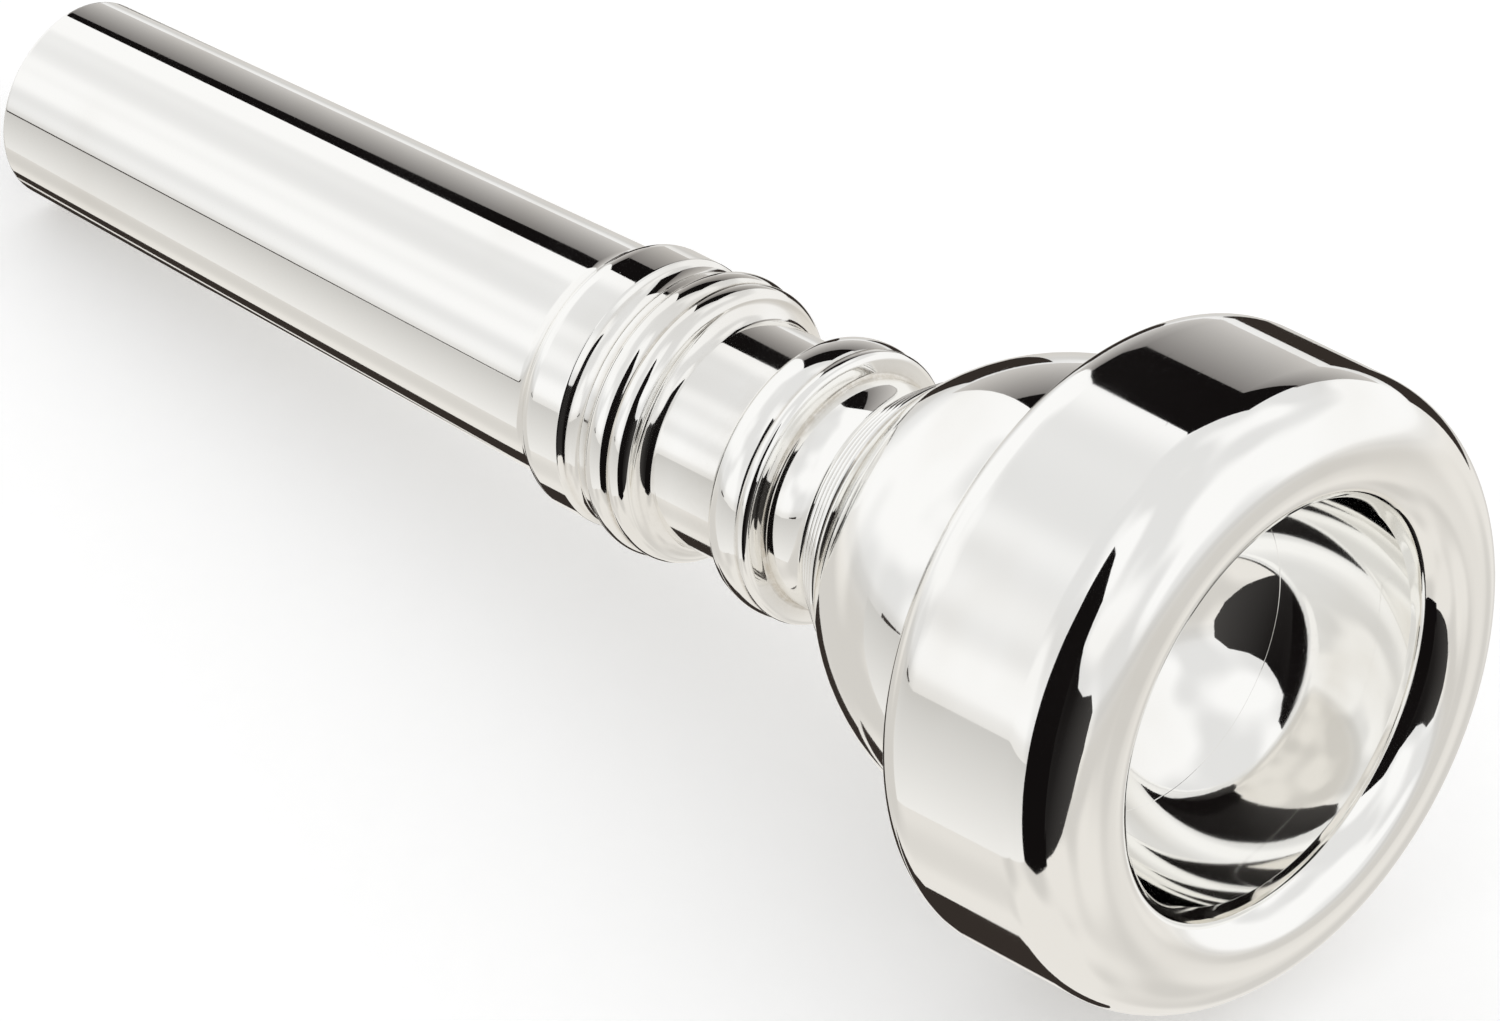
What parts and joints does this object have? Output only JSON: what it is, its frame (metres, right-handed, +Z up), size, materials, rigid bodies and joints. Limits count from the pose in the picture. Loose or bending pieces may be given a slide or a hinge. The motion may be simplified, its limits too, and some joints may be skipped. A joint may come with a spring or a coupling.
{
  "type": "cornet mouthpiece",
  "caption": "Cup mouthpiece for a cornet: a wide rounded rim, a bowl-shaped cup narrowing to a throat, and a tapered shank with turned collars that plugs into the instrument.",
  "frame": {"origin": "centre of the shank's end face, on the mouthpiece's axis", "axes": "+Y along the axis out of the shank's end, so the rim faces -Y; +Z up; +X to the right seen from the rim's side"},
  "size_m": [0.027, 0.0691, 0.027],
  "materials": {
    "plated_brass": "mirror-polished silver plate on turned brass"
  },
  "bodies": {
    "root": {"rim": "plated_brass", "cup": "plated_brass", "stem": "plated_brass"}
  },
  "joints": []
}
